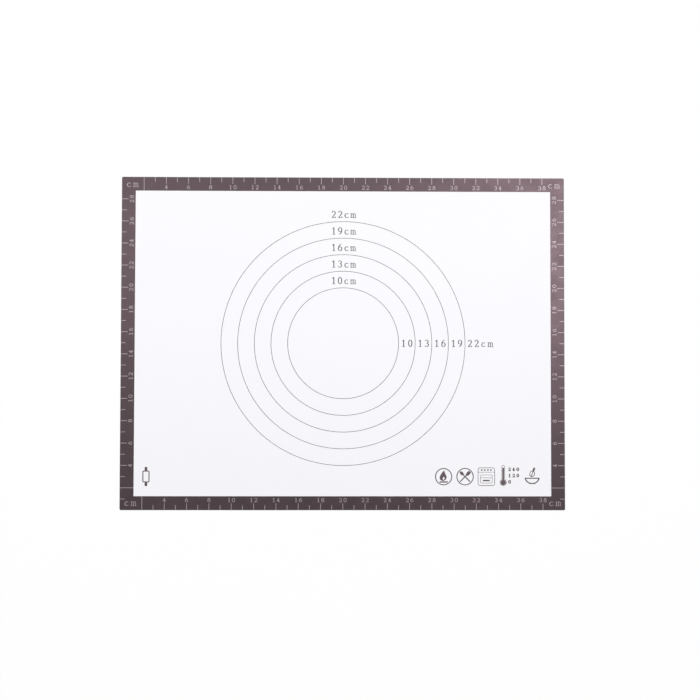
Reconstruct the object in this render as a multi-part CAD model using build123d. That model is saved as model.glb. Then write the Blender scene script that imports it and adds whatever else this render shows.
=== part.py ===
from build123d import *
import math
import os

os.makedirs("parts", exist_ok=True)

# Outline and layers of the mat, in millimetres. Its width follows further down from what is
# printed across it, and comes to 300
mat_length = 400
corner_radius = 1.2
base_coat_thickness = 0.27
cloth_thickness = 0.16
top_coat_thickness = 0.27
seal_width = 0.4
seal_bevel = 0.12

# Printed border with its centimetre rulers
ink_thickness = 0.05
centimetre = 10
tick_line = 0.52
short_tick = 4.5
long_tick = 6.2
number_gap = 1.05
number_margin = 1.55
number_height = 3.7
number_width = 2.7
number_pitch = 4.0
number_nib = 0.5
number_hairline = 0.36

# Unit marks in the corners of the border
unit_inset = 9.4
unit_drop_from_top = 7.3
unit_rise_from_bottom = 5.8
unit_height = 3.9
unit_width = 3.7
unit_pitch = 6.1
unit_nib = 0.66
unit_hairline = 0.4

# Guide circles and their size labels, with the clear field between the border and the last label
field_margin = 17.7
ring_line = 0.45
label_height = 6.5
label_letter_height = 4.3
label_width = 3.9
label_pitch = 5.8
label_rise = 3.3
side_label_pitch = 6.1
label_nib = 0.9
label_hairline = 0.42

# Row of small pictures at the lower right, each placed from the right and bottom edges
symbol_row_rise = 30.1
tall_row_rise = 31.1
ringed_line = 0.85

flame_from_right = 109.4
flame_ring_radius = 7.7
flame_height = 9.6
flame_width = 7.6
flame_rise = 1.0
burner_width = 7.6
burner_line = 1.2
burner_gap = 0.95

tools_from_right = 90.1
tools_ring_radius = 7.8
tool_length = 12.8
tool_handle = 1.0
tool_head_width = 2.8
tool_head_length = 4.4
blade_corner = 0.6
tool_tilt = 45

oven_from_right = 70.9
oven_width = 15.4
oven_height = 16.4
oven_corner = 2.2
oven_line = 0.5
window_line = 0.35
control_panel_height = 4.2
oven_knob_radius = 0.75
window_inset = 2.3
window_corner = 1.0
tray_width = 6.4
tray_height = 1.2

thermometer_from_right = 55.7
thermometer_height = 18.6
glass_line = 0.4
stem_width = 3.0
bulb_radius = 3.1
column_width = 1.6
column_drop = 1.4
bulb_gap = 0.3

scale_gap = 2.6
scale_spacing = 5.6
scale_height = 3.3
scale_width = 2.5
scale_pitch = 3.7
scale_nib = 0.9
scale_hairline = 0.54

bowl_from_right = 29.65
bowl_width = 13.4
bowl_depth = 5.6
bowl_line = 0.95
bowl_foot_width = 6.0
bowl_symbol_height = 15.0
whisk_gap = 0.6
whisk_width = 4.8
whisk_length = 5.8
wire_line = 0.6
whisk_handle_width = 1.8
whisk_tilt = -22

# Rolling pin mark at the lower left
pin_from_left = 23.5
pin_width = 6.4
pin_height = 17.0
pin_barrel_height = 10.6
pin_corner = 1.3
pin_line = 0.9
pin_handle_width = 2.4

# Counts, and whole numbers of centimetres that the print gives: circles, then rulers
ring_numbers = [10, 13, 16, 19, 22]
ring_side_count = 144
knob_count = 4
arc_step = 30
full_width_mark = 2
first_number = 4
number_every = 2
scale_numbers = ["240", "120", "0"]

# Sizes that follow from the ones above
mat_thickness = base_coat_thickness + cloth_thickness + top_coat_thickness
border_level = mat_thickness + ink_thickness
coat_length = mat_length - 2 * seal_width
coat_corner = corner_radius - seal_width
number_middle = long_tick + number_gap + number_height / 2
border_width = number_middle + number_height / 2 + number_margin
ring_radii = [number * centimetre / 2 for number in ring_numbers]
ring_gap = ring_radii[1] - ring_radii[0]
mat_width = 2 * (ring_radii[-1] + label_rise + label_height + field_margin + border_width)
coat_width = mat_width - 2 * seal_width
right_edge = mat_length / 2
top_edge = mat_width / 2
marks_along_length = round(mat_length / centimetre)
marks_along_width = round(mat_width / centimetre)

# Height of the rack in the oven's window, as a share of the window
rack_share = 0.64

# How letters differ from digits in the same size of type
letter_width_shares = {"c": 1.0, "m": 1.35}
letter_nib_shares = {"c": 1.0, "m": 0.8}

# Outline of the flame, as shares of its width and height: a left side and a right side
flame_left_shares = [(0, 0), (-0.72, 0.02), (-0.55, 0.5), (0.06, 1)]
flame_right_shares = [(0.06, 1), (0.02, 0.72), (0.78, 0.3), (0, 0)]
flame_heart_left_shares = [(0.02, 0.1), (-0.18, 0.12), (-0.14, 0.28), (0.04, 0.4)]
flame_heart_right_shares = [(0.04, 0.4), (0.06, 0.3), (0.22, 0.2), (0.02, 0.1)]


def save(node, pieces):
    solids = [solid for piece in pieces for solid in piece.solids()]
    export_step(Compound(children=solids), "parts/" + node + ".step")


def rounded_plate(length, width, corner, thickness):
    return extrude(RectangleRounded(length, width, corner), thickness)


# A flat shape becomes ink of the one thickness, lifted to the surface that it is printed on
def ink(shape, level=mat_thickness):
    return Pos(0, 0, level) * extrude(shape, ink_thickness)


# Round stretch of a pen stroke, in shares of the box of its digit or letter
def arc(centre, reach, start, stop):
    steps = max(2, round(abs(stop - start) / arc_step))
    turns = [math.radians(start + (stop - start) * step / steps) for step in range(steps + 1)]
    return [(centre[0] + reach[0] * math.cos(turn), centre[1] + reach[1] * math.sin(turn))
            for turn in turns]


# Pen strokes of the digits and letters, in shares of the box: left to right, bottom to top
six_shares = [arc((0.5, 0.31), (0.5, 0.31), 0, 360),
              arc((0.95, 0.31), (0.95, 0.69), 100, 180)]
stroke_shares = {
    "0": [arc((0.5, 0.5), (0.5, 0.5), 0, 360)],
    "1": [[(0.2, 0.82), (0.55, 1), (0.55, 0)], [(0.2, 0), (0.9, 0)]],
    "2": [arc((0.48, 0.72), (0.46, 0.28), 165, -30) + [(0.03, 0), (1, 0), (1, 0.14)]],
    "3": [arc((0.45, 0.76), (0.43, 0.24), 150, -90), arc((0.45, 0.27), (0.5, 0.27), 80, -155)],
    "4": [[(0.68, 0), (0.68, 1), (0, 0.28), (1, 0.28)], [(0.42, 0), (0.94, 0)]],
    "5": [[(0.92, 1), (0.14, 1), (0.12, 0.5)] + arc((0.45, 0.32), (0.5, 0.32), 125, -155)],
    "6": six_shares,
    "7": [[(0, 0.84), (0, 1), (1, 1), (0.4, 0)]],
    "8": [arc((0.5, 0.76), (0.4, 0.24), 0, 360), arc((0.5, 0.27), (0.5, 0.27), 0, 360)],
    "9": [[(1 - across, 1 - up) for across, up in stroke] for stroke in six_shares],
    "c": [arc((0.54, 0.5), (0.52, 0.5), 42, 322)],
    "m": [[(0.02, 1), (0.14, 1), (0.14, 0)],
          [(0.14, 0.7)] + arc((0.34, 0.72), (0.2, 0.28), 150, 0) + [(0.54, 0)],
          [(0.54, 0.7)] + arc((0.74, 0.72), (0.2, 0.28), 150, 0) + [(0.94, 0)],
          [(0, 0), (0.26, 0)],
          [(0.42, 0), (0.66, 0)],
          [(0.82, 0), (1.06, 0)]],
    # For a circle of a half centimetre
    ".": [[(0.4, 0), (0.6, 0)]],
}


# What a rectangular nib covers on its way from one point to the next
def nib_run(start, stop, nib, hairline):
    across = math.copysign(nib / 2, stop[0] - start[0])
    up = math.copysign(hairline / 2, stop[1] - start[1])
    corners = [(start[0] - across, start[1] - up), (start[0] + across, start[1] - up),
               (stop[0] + across, stop[1] - up), (stop[0] + across, stop[1] + up),
               (stop[0] - across, stop[1] + up), (start[0] - across, start[1] + up)]
    if across * up < 0:
        corners.reverse()
    return Polygon(*corners, align=None)


# One digit or letter, centred across and standing on its baseline
def sign_shape(sign, width, height, nib, hairline):
    runs = []
    for stroke in stroke_shares[sign]:
        path = [((across - 1 / 2) * (width - nib), hairline / 2 + up * (height - hairline))
                for across, up in stroke]
        runs += [nib_run(start, stop, nib, hairline) for start, stop in zip(path, path[1:])]
    return Sketch() + runs


# A size of type: each sign is cut once, then placed wherever a word needs it
class TypeSize:
    def __init__(self, width, digit_height, letter_height, nib, hairline):
        self.width = width
        self.digit_height = digit_height
        self.letter_height = letter_height
        self.nib = nib
        self.hairline = hairline
        self.signs = {}

    def sign(self, sign):
        if sign not in self.signs:
            height = self.digit_height if sign.isdigit() else self.letter_height
            width = self.width * letter_width_shares.get(sign, 1)
            nib = self.nib * letter_nib_shares.get(sign, 1)
            shape = sign_shape(sign, width, height, nib, self.hairline)
            self.signs[sign] = extrude(shape, ink_thickness)
        return self.signs[sign]

    # The signs of a word, with the middle of the word at the origin on its baseline
    def word(self, text, pitch):
        middle = (len(text) - 1) / 2
        return [Pos((place - middle) * pitch, 0, 0) * self.sign(sign)
                for place, sign in enumerate(text)]


ruler_type = TypeSize(number_width, number_height, number_height, number_nib, number_hairline)
unit_type = TypeSize(unit_width, unit_height, unit_height, unit_nib, unit_hairline)
label_type = TypeSize(label_width, label_height, label_letter_height, label_nib, label_hairline)
scale_type = TypeSize(scale_width, scale_height, scale_height, scale_nib, scale_hairline)


# The laminate, from the underside up
def layers():
    base = rounded_plate(coat_length, coat_width, coat_corner, base_coat_thickness)
    cloth = rounded_plate(coat_length, coat_width, coat_corner, cloth_thickness)
    top = rounded_plate(coat_length, coat_width, coat_corner, top_coat_thickness)
    save("silicone_base_coat", [base])
    save("glass_fibre_cloth", [Pos(0, 0, base_coat_thickness) * cloth])
    save("silicone_top_coat", [Pos(0, 0, base_coat_thickness + cloth_thickness) * top])


# Bead of silicone round the cut edge, with its outer corners taken off
def edge_seal():
    bead = rounded_plate(mat_length, mat_width, corner_radius, mat_thickness)
    by_height = bead.faces().sort_by(Axis.Z)
    bead = chamfer(by_height[0].edges() + by_height[-1].edges(), seal_bevel)
    bead -= rounded_plate(coat_length, coat_width, coat_corner, mat_thickness)
    save("edge_seal", [bead])


def border_print():
    outside = RectangleRounded(coat_length, coat_width, coat_corner)
    inside = Rectangle(mat_length - 2 * border_width, mat_width - 2 * border_width)
    save("border_print", [ink(outside - inside)])


# How far a centimetre mark reaches in from the outer edge
def mark_length(number):
    if number == full_width_mark:
        return border_width
    return long_tick if number % number_every == 0 else short_tick


# Marks of one ruler, drawn with the ruler's outer edge along X and the mat below it
def ruler_marks(numbers, start, edge):
    marks = []
    for number in numbers:
        length = mark_length(number) - seal_width
        mark = extrude(Rectangle(tick_line, length, align=(Align.CENTER, Align.MAX)), ink_thickness)
        marks.append(Pos(start + number * centimetre, edge - seal_width, border_level) * mark)
    return marks


def rulers():
    along_length = range(full_width_mark, marks_along_length - 1)
    along_width = range(1, marks_along_width - 1)
    top = ruler_marks(along_length, -right_edge, top_edge)
    right = ruler_marks(along_width, -top_edge, right_edge)
    save("ruler_ticks_top", top)
    save("ruler_ticks_bottom", [mark.mirror(Plane.XZ) for mark in top])
    # The side rulers count upwards, so the marks are turned and the order follows from a mirror
    turned = [Rot(0, 0, -90) * mark.mirror(Plane.YZ) for mark in right]
    save("ruler_ticks_right", turned)
    save("ruler_ticks_left", [mark.mirror(Plane.YZ) for mark in turned])


# Plain numbers beside every second mark: upright along the length, reading upwards at the sides
def ruler_numbers():
    along_length = range(first_number, marks_along_length - 1, number_every)
    along_width = range(first_number, marks_along_width - 1, number_every)
    rows = {"top": top_edge - number_middle, "bottom": number_middle - top_edge}
    for name, row in rows.items():
        words = [Pos(number * centimetre - right_edge, row - number_height / 2, border_level) * sign
                 for number in along_length for sign in ruler_type.word(str(number), number_pitch)]
        save("ruler_numbers_" + name, words)
    columns = {"left": number_middle - right_edge, "right": right_edge - number_middle}
    for name, column in columns.items():
        words = [Pos(column + number_height / 2, number * centimetre - top_edge, border_level)
                 * Rot(0, 0, 90) * sign
                 for number in along_width for sign in ruler_type.word(str(number), number_pitch)]
        save("ruler_numbers_" + name, words)


def unit_marks():
    rows = [top_edge - unit_drop_from_top, unit_rise_from_bottom - top_edge]
    columns = [unit_inset - right_edge, right_edge - unit_inset]
    save("unit_marks", [Pos(column, row - unit_height / 2, border_level) * sign
                        for row in rows for column in columns
                        for sign in unit_type.word("cm", unit_pitch)])


def ring(radius, line):
    return Circle(radius) - Circle(radius - line)


# Each circle is drawn with short flats, which leave it by far less than the width of its line
def guide_rings():
    for number, radius in zip(ring_numbers, ring_radii):
        outside = RegularPolygon(radius + ring_line / 2, ring_side_count)
        inside = RegularPolygon(radius - ring_line / 2, ring_side_count)
        save("guide_ring_" + str(number) + "cm", [ink(outside - inside)])


# A label above each circle, and one at its right, where the last circle's runs on with its unit.
# The two digits at the right stand midway to the next circle
def ring_labels():
    side_start = (ring_gap - side_label_pitch) / 2
    for number, radius in zip(ring_numbers, ring_radii):
        name = str(number) + "cm"
        top = [Pos(0, radius + label_rise, mat_thickness) * sign
               for sign in label_type.word(name, label_pitch)]
        save("ring_label_top_" + name, top)
        side_text = name if number == ring_numbers[-1] else str(number)
        middle = radius + side_start + (len(side_text) - 1) / 2 * side_label_pitch
        side = [Pos(middle, -label_height / 2, mat_thickness) * sign
                for sign in label_type.word(side_text, side_label_pitch)]
        save("ring_label_side_" + name, side)


# Closed outline from a left and a right curve given in shares of a width and a height
def leaf(left_shares, right_shares, width, height):
    left = Bezier(*[(across * width, up * height) for across, up in left_shares])
    right = Bezier(*[(across * width, up * height) for across, up in right_shares])
    return make_face([left, right])


# A flame over a burner bar, in a ring
def flame_symbol():
    flame = leaf(flame_left_shares, flame_right_shares, flame_width, flame_height)
    flame -= leaf(flame_heart_left_shares, flame_heart_right_shares, flame_width, flame_height)
    burner_row = flame_rise - flame_height / 2 - burner_gap
    bar = Pos(0, burner_row) * Rectangle(burner_width, burner_line)
    shapes = [ring(flame_ring_radius, ringed_line), Pos(0, flame_rise - flame_height / 2) * flame, bar]
    place = Pos(right_edge - flame_from_right, symbol_row_rise - top_edge)
    save("flame_symbol", [place * ink(shape) for shape in shapes])


# A spoon and a scraper laid across each other, in a ring
def crossed_tools_symbol():
    handle = Rectangle(tool_handle, tool_length)
    head_row = (tool_length - tool_head_length) / 2
    spoon = handle + Pos(0, head_row) * Ellipse(tool_head_width / 2, tool_head_length / 2)
    blade = RectangleRounded(tool_head_width, tool_head_length, blade_corner)
    scraper = handle + Pos(0, head_row) * blade
    crossed = Rot(0, 0, tool_tilt) * spoon + Rot(0, 0, -tool_tilt) * scraper
    place = Pos(right_edge - tools_from_right, symbol_row_rise - top_edge)
    save("crossed_tools_symbol", [place * ink(ring(tools_ring_radius, ringed_line)),
                                  place * ink(crossed)])


def frame_outline(width, height, corner, line):
    return (RectangleRounded(width, height, corner)
            - RectangleRounded(width - 2 * line, height - 2 * line, corner - line))


# An oven front: control panel with knobs, and a window with a rack and a tray
def oven_symbol():
    panel_row = oven_height / 2 - control_panel_height
    body = frame_outline(oven_width, oven_height, oven_corner, oven_line)
    body += Pos(0, panel_row) * Rectangle(oven_width - oven_line, window_line)
    knob_pitch = (oven_width - 2 * oven_corner) / knob_count
    knob_row = panel_row + (control_panel_height - oven_line + window_line / 2) / 2
    knobs = [Pos((place - (knob_count - 1) / 2) * knob_pitch, knob_row) * Circle(oven_knob_radius)
             for place in range(knob_count)]
    window_width = oven_width - 2 * window_inset
    window_height = oven_height - control_panel_height - 2 * window_inset
    window_foot = window_inset - oven_height / 2
    window = Pos(0, window_foot + window_height / 2) * frame_outline(
        window_width, window_height, window_corner, window_line)
    rack_rise = window_height * rack_share
    window += Pos(0, window_foot + rack_rise) * Rectangle(window_width - window_line, window_line)
    tray = Pos(0, window_foot + rack_rise / 2) * Rectangle(tray_width, tray_height)
    place = Pos(right_edge - oven_from_right, symbol_row_rise - top_edge)
    save("oven_symbol", [place * ink(shape) for shape in [body, window, tray] + knobs])


# A bulb and a stem drawn round a filled bulb and column
def thermometer_symbol():
    foot = -thermometer_height / 2
    bulb_row = foot + bulb_radius

    def outline(bulb, stem, top_row):
        stem_height = top_row - bulb_row
        tube = Pos(0, bulb_row + stem_height / 2) * Rectangle(stem, stem_height)
        cap = Pos(0, top_row) * Circle(stem / 2)
        return Pos(0, bulb_row) * Circle(bulb) + tube + cap

    top_row = thermometer_height / 2 - stem_width / 2
    glass = outline(bulb_radius, stem_width, top_row)
    glass -= outline(bulb_radius - glass_line, stem_width - 2 * glass_line, top_row)
    column = outline(bulb_radius - glass_line - bulb_gap, column_width, top_row - column_drop)
    place = Pos(right_edge - thermometer_from_right, tall_row_rise - top_edge)
    save("thermometer_symbol", [place * ink(glass), place * ink(column)])


# A plain scale of numbers beside the thermometer
def thermometer_numbers():
    left = right_edge - thermometer_from_right + bulb_radius + scale_gap
    signs = []
    for row, number in enumerate(scale_numbers):
        middle = left + (len(number) - 1) / 2 * scale_pitch
        rise = (1 - row) * scale_spacing - scale_height / 2
        signs += [Pos(middle, tall_row_rise - top_edge + rise, mat_thickness) * sign
                  for sign in scale_type.word(number, scale_pitch)]
    save("thermometer_numbers", signs)


# A mixing bowl on its foot, with a whisk above it
def bowl_and_whisk_symbol():
    foot_row = -bowl_symbol_height / 2
    rim_row = foot_row + bowl_depth
    lower_half = Rectangle(bowl_width, bowl_depth, align=(Align.CENTER, Align.MAX))
    outside = Ellipse(bowl_width / 2, bowl_depth) & lower_half
    inside = Ellipse(bowl_width / 2 - bowl_line, bowl_depth - bowl_line)
    inside = inside & (Pos(0, -bowl_line) * lower_half)
    bowl = Pos(0, rim_row) * (outside - inside)
    bowl += Pos(0, foot_row + bowl_line / 2) * Rectangle(bowl_foot_width, bowl_line)
    loops = Ellipse(whisk_width / 2, whisk_length / 2)
    loops -= Ellipse(whisk_width / 2 - wire_line, whisk_length / 2 - wire_line)
    loops += Rectangle(wire_line, whisk_length - wire_line)
    grip_foot = whisk_length / 2 - wire_line
    grip_height = bowl_symbol_height - bowl_depth - whisk_gap - whisk_length + wire_line
    grip = Pos(0, grip_foot) * Rectangle(
        whisk_handle_width, grip_height, align=(Align.CENTER, Align.MIN))
    whisk = Pos(0, rim_row + whisk_gap + whisk_length / 2) * Rot(0, 0, whisk_tilt) * (loops + grip)
    place = Pos(right_edge - bowl_from_right, tall_row_rise - top_edge)
    save("bowl_and_whisk_symbol", [place * ink(bowl), place * ink(whisk)])


# A rolling pin stood on end: outlined barrel and two filled handles
def rolling_pin_symbol():
    barrel = frame_outline(pin_width, pin_barrel_height, pin_corner, pin_line)
    handle_height = (pin_height - pin_barrel_height) / 2
    handle = Rectangle(pin_handle_width, handle_height, align=(Align.CENTER, Align.MIN))
    upper = Pos(0, pin_barrel_height / 2) * handle
    lower = Pos(0, -pin_barrel_height / 2 - handle_height) * handle
    place = Pos(pin_from_left - right_edge, symbol_row_rise - top_edge)
    save("rolling_pin_symbol", [place * ink(barrel + upper + lower)])


layers()
edge_seal()
border_print()
rulers()
ruler_numbers()
unit_marks()
guide_rings()
ring_labels()
flame_symbol()
crossed_tools_symbol()
oven_symbol()
thermometer_symbol()
thermometer_numbers()
bowl_and_whisk_symbol()
rolling_pin_symbol()
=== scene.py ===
import math
import bpy
import numpy as np
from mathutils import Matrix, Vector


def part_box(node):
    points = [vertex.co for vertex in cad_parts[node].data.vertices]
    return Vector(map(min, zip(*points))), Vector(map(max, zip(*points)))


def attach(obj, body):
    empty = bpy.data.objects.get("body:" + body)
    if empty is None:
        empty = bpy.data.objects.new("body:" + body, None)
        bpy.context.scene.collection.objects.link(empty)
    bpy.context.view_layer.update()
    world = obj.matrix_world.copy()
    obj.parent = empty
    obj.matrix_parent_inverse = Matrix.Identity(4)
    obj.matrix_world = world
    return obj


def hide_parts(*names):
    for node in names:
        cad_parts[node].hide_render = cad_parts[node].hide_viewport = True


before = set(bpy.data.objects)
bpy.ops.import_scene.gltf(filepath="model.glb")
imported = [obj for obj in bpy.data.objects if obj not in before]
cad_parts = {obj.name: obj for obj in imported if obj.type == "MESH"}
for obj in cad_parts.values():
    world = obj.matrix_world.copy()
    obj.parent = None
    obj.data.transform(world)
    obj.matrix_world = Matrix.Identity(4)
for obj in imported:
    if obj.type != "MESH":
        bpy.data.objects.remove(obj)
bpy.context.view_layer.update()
print("Frame loaded with", len(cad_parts), "nodes")


# Camera straight above the mat, a little towards its lower edge, in metres and degrees
cameraValues = {
    "lens": 50,
    "sensor": 36,
    "place": (-0.0034, -0.0292, 0.8768),
    "turn": (1.507, -0.63, 0.101),
}


def makeCamera(values):
    data = bpy.data.cameras.new("overheadCamera")
    data.lens = values["lens"]
    data.sensor_width = values["sensor"]
    camera = bpy.data.objects.new("overheadCamera", data)
    camera.location = values["place"]
    camera.rotation_euler = [math.radians(angle) for angle in values["turn"]]
    bpy.context.scene.collection.objects.link(camera)
    bpy.context.scene.camera = camera


makeCamera(cameraValues)
print("Camera placed")


# Sizes that the frame gives, in metres: half sizes from the middle of the mat, and heights
def nodeBox(node):
    low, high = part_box(node)
    return np.array(low), np.array(high)


matHalf = nodeBox("edge_seal")[1][:2]
coatHalf = nodeBox("silicone_top_coat")[1][:2]
sealWidth = matHalf[0] - coatHalf[0]
borderWidth = matHalf[1] - nodeBox("ruler_ticks_top")[0][1]     # one mark crosses the border
fieldHalf = matHalf - borderWidth
coatTop = nodeBox("silicone_top_coat")[1][2]
borderTop = nodeBox("border_print")[1][2]
inkThickness = borderTop - coatTop
centimetre = 0.01

# How the sheet lies on the table
lieValues = {
    "edgeLift": 0.00042,      # most that a corner stands off the table, and a side half of it
    "liftReach": 0.062,       # how far in from an edge the lift begins
    "sideWave": 0.155,        # length of the slow wave along the short edges
    "endWave": 0.215,         # the same along the long edges
    "sidePhase": 0.6,
    "endPhase": 2.2,
    "ripple": 0.00009,        # faint unevenness of the whole sheet
    "rippleLength": 0.118,
    "rippleSlant": 1 / 3,     # how far the first ripple leans towards y
    "crossSlant": -1 / 4,     # how far the second one, which crosses it, leans towards x
    "crossRate": 0.8,         # waves of the second one for each wave of the first
}


# Sine wave raised and halved, so that it runs from 0 to 1
def halfWave(turn):
    return (1 + np.sin(turn)) / 2


# Height of the underside over the table. Near an edge it is the lift times the square of the
# nearness times a slow wave along that edge, and everywhere two crossed ripples are added
def lieAt(x, y, values=lieValues):
    nearSide = np.clip(1 - (matHalf[0] - np.abs(x)) / values["liftReach"], 0, 1) ** 2
    nearEnd = np.clip(1 - (matHalf[1] - np.abs(y)) / values["liftReach"], 0, 1) ** 2
    sideTurn = y * math.tau / values["sideWave"] + values["sidePhase"] * np.sign(x)
    endTurn = x * math.tau / values["endWave"] + values["endPhase"] * np.sign(y)
    lift = nearSide * halfWave(sideTurn) + nearEnd * halfWave(endTurn)
    slow = math.tau / values["rippleLength"]
    ripple = halfWave(slow * (x + values["rippleSlant"] * y))
    crossing = halfWave(slow * values["crossRate"] * (y + values["crossSlant"] * x))
    return (values["edgeLift"] * lift + values["ripple"] * (ripple + crossing)) / 2


# What all finishes have in common
surfaceValues = {
    "pitch": 0.0009,          # from one yarn of the cloth to the next
    "crimp": 0.45,            # how much a yarn rises and dips
    "cloudDetail": 2.5,
    "grainDetail": 1.5,
    "grainSize": 0.00035,
    "grainShare": 0.4,        # height of the grain as a share of the weave's
    "cloudLow": 0.3,          # values of the clouds where the surface is smoothest and roughest
    "cloudHigh": 0.7,
}


# New node with its inputs set, or linked where the value is another node's socket
def addNode(tree, kind, inputs=None, **settings):
    node = tree.nodes.new(kind)
    for name, value in settings.items():
        setattr(node, name, value)
    for name, value in (inputs or {}).items():
        if isinstance(value, bpy.types.NodeSocket):
            tree.links.new(value, node.inputs[name])
        else:
            node.inputs[name].default_value = value
    return node


# Empty node group with the named sockets, and the two nodes that stand for them
def newEffect(name, inputs, outputs):
    tree = bpy.data.node_groups.new(name, "ShaderNodeTree")
    for socket, kind in inputs.items():
        tree.interface.new_socket(socket, in_out="INPUT", socket_type=kind)
    for socket, kind in outputs.items():
        tree.interface.new_socket(socket, in_out="OUTPUT", socket_type=kind)
    return tree, tree.nodes.new("NodeGroupInput"), tree.nodes.new("NodeGroupOutput")


def maths(tree, operation, *values):
    return addNode(tree, "ShaderNodeMath", dict(enumerate(values)), operation=operation).outputs[0]


# Plain weave: each yarn's roundness is the size of a sine across it, it rises and dips with the
# sine along it, and the higher of the two yarns is seen. The gap is where neither is
def makeWeaveEffect():
    tree, given, wanted = newEffect(
        "clothWeave",
        {"Vector": "NodeSocketVector", "Pitch": "NodeSocketFloat", "Crimp": "NodeSocketFloat"},
        {"Height": "NodeSocketFloat", "Gap": "NodeSocketFloat"})
    turnsPerMetre = maths(tree, "DIVIDE", math.pi, given.outputs["Pitch"])
    scaled = addNode(tree, "ShaderNodeVectorMath", {0: given.outputs["Vector"]}, operation="SCALE")
    tree.links.new(turnsPerMetre, scaled.inputs["Scale"])
    parts = addNode(tree, "ShaderNodeSeparateXYZ", {0: scaled.outputs[0]})
    warpSine = maths(tree, "SINE", parts.outputs[0])
    weftSine = maths(tree, "SINE", parts.outputs[1])
    warpRound = maths(tree, "ABSOLUTE", warpSine)
    weftRound = maths(tree, "ABSOLUTE", weftSine)
    warpSide = maths(tree, "MULTIPLY", maths(tree, "SIGN", warpSine), given.outputs["Crimp"])
    weftSide = maths(tree, "MULTIPLY", maths(tree, "SIGN", weftSine), given.outputs["Crimp"])
    warp = maths(tree, "MULTIPLY_ADD", warpSide, weftSine, warpRound)
    dip = maths(tree, "MULTIPLY", weftSide, warpSine)
    weft = maths(tree, "SUBTRACT", weftRound, dip)
    tree.links.new(maths(tree, "MAXIMUM", warp, weft), wanted.inputs["Height"])
    seen = maths(tree, "MAXIMUM", warpRound, weftRound)
    tree.links.new(maths(tree, "SUBTRACT", 1.0, seen), wanted.inputs["Gap"])
    return tree


# Slow cloudiness and fine grain, both from noise, as values from 0 to 1
def makeCloudEffect(values):
    tree, given, wanted = newEffect(
        "cloudAndGrain",
        {"Vector": "NodeSocketVector", "Cloud Size": "NodeSocketFloat", "Grain Size": "NodeSocketFloat"},
        {"Cloud": "NodeSocketFloat", "Grain": "NodeSocketFloat"})
    for name, detail in (("Cloud", values["cloudDetail"]), ("Grain", values["grainDetail"])):
        scale = maths(tree, "DIVIDE", 1.0, given.outputs[name + " Size"])
        noise = addNode(tree, "ShaderNodeTexNoise",
                        {"Vector": given.outputs["Vector"], "Scale": scale, "Detail": detail})
        tree.links.new(noise.outputs["Fac"], wanted.inputs[name])
    return tree


weaveEffect = makeWeaveEffect()
cloudEffect = makeCloudEffect(surfaceValues)

# Finishes: two close colours that the clouds mix, what shows in the gaps of the weave, and how
# satin and how embossed the surface is
finishes = {
    "white_silicone": {
        "pale": (0.885, 0.878, 0.912), "deep": (0.86, 0.853, 0.886), "gap": (0.84, 0.835, 0.87),
        "gapShare": 0.15, "cloudSize": 0.03, "roughLow": 0.46, "roughHigh": 0.54,
        "relief": 0.000012, "tint": (1, 1, 1), "refraction": 1.41,
    },
    "underside_silicone": {
        "pale": (0.83, 0.83, 0.85), "deep": (0.79, 0.79, 0.815), "gap": (0.66, 0.665, 0.68),
        "gapShare": 0.7, "cloudSize": 0.04, "roughLow": 0.42, "roughHigh": 0.55,
        "relief": 0.00003, "tint": (1, 1, 1), "refraction": 1.41,
    },
    "glass_cloth": {
        "pale": (0.86, 0.87, 0.84), "deep": (0.8, 0.81, 0.78), "gap": (0.5, 0.5, 0.47),
        "gapShare": 0.9, "cloudSize": 0.01, "roughLow": 0.45, "roughHigh": 0.7,
        "relief": 0.00008, "tint": (1, 1, 1), "refraction": 1.5,
    },
    "brown_silicone": {
        "pale": (0.025, 0.019, 0.0215), "deep": (0.019, 0.0165, 0.0185), "gap": (0.016, 0.014, 0.015),
        "gapShare": 0.15, "cloudSize": 0.012, "roughLow": 0.295, "roughHigh": 0.355,
        "relief": 0.000012, "tint": (1.0, 0.713, 0.795), "refraction": 1.5,
    },
    "light_ink": {
        "pale": (0.27, 0.225, 0.245), "deep": (0.23, 0.19, 0.205), "gap": (0.18, 0.15, 0.16),
        "gapShare": 0.2, "cloudSize": 0.004, "roughLow": 0.32, "roughHigh": 0.38,
        "relief": 0.000012, "tint": (1, 0.9, 0.93), "refraction": 1.85,
    },
    "brown_ink": {
        "pale": (0.085, 0.055, 0.063), "deep": (0.06, 0.04, 0.046), "gap": (0.12, 0.09, 0.1),
        "gapShare": 0.2, "cloudSize": 0.005, "roughLow": 0.42, "roughHigh": 0.5,
        "relief": 0.000012, "tint": (1, 1, 1), "refraction": 1.45,
    },
}


# Sockets of a Mix node: its share and its two colours, and the mixed colour
mixInputs = (0, 6, 7)
mixResult = 2


def colourMix(tree, share, first, second):
    given = [(*value, 1) if isinstance(value, tuple) else value for value in (share, first, second)]
    mix = addNode(tree, "ShaderNodeMix", dict(zip(mixInputs, given)), data_type="RGBA")
    return mix.outputs[mixResult]


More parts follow.
